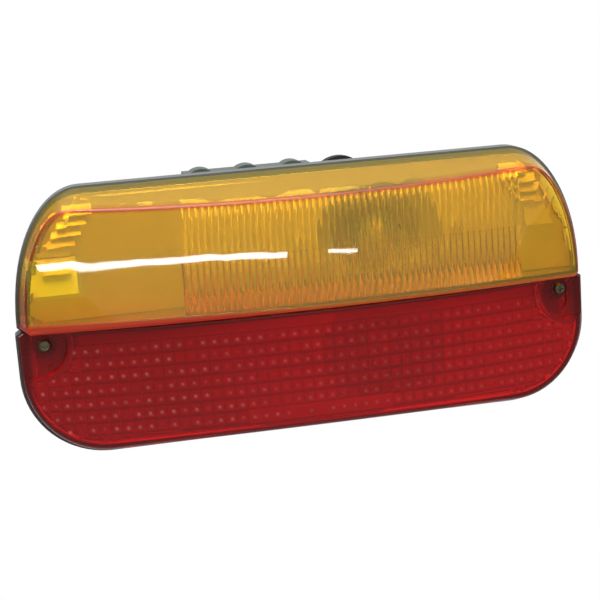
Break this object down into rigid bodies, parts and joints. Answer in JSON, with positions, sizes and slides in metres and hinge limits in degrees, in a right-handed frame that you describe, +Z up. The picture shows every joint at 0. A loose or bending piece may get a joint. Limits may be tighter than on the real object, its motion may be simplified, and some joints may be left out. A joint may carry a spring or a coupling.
{
  "type": "tail light cluster",
  "caption": "Wide rear lamp cluster with an amber turn-signal lens over a red stop and tail lens in a grey housing, fixed from behind by studs.",
  "frame": {"origin": "middle of the rear mounting face, half way between the two studs", "axes": "+X along the width, to the right as seen from the front; +Y backwards along the studs, so the lenses face -Y; +Z up"},
  "size_m": [0.252, 0.0908, 0.1158],
  "materials": {
    "housing": "moulded, fine grain",
    "gasket_rubber": "pale foam rubber",
    "amber": "clear amber acrylic, polished",
    "red": "clear red acrylic, polished",
    "screw_steel": "zinc plated",
    "bright": "aluminised plastic",
    "bulb_glass": "blown glass",
    "cap_brass": "plated brass",
    "plated_steel": "zinc plated, pressed",
    "insulator": "moulded",
    "strip_brass": "pressed strip",
    "cover": "moulded, fine grain",
    "grommet_rubber": "moulded rubber",
    "stud_steel": "zinc plated"
  },
  "bodies": {
    "root": {"housing": "housing", "lens_gasket": "gasket_rubber", "amber_lens": "amber", "red_lens": "red", "lens_screws": "screw_steel", "screw_seals": "gasket_rubber", "turn_reflector": "bright", "stop_reflector": "bright", "reflector_screws": "screw_steel", "turn_bulb_glass": "bulb_glass", "turn_bulb_cap": "cap_brass", "stop_bulb_glass": "bulb_glass", "stop_bulb_cap": "cap_brass", "turn_lampholder": "plated_steel", "stop_lampholder": "plated_steel", "turn_contact": "insulator", "stop_contact": "insulator", "earth_strip": "strip_brass", "terminal_blades": "strip_brass", "terminal_cover": "cover", "cover_screws": "screw_steel", "cable_grommet": "grommet_rubber", "mounting_studs": "stud_steel"}
  },
  "joints": []
}
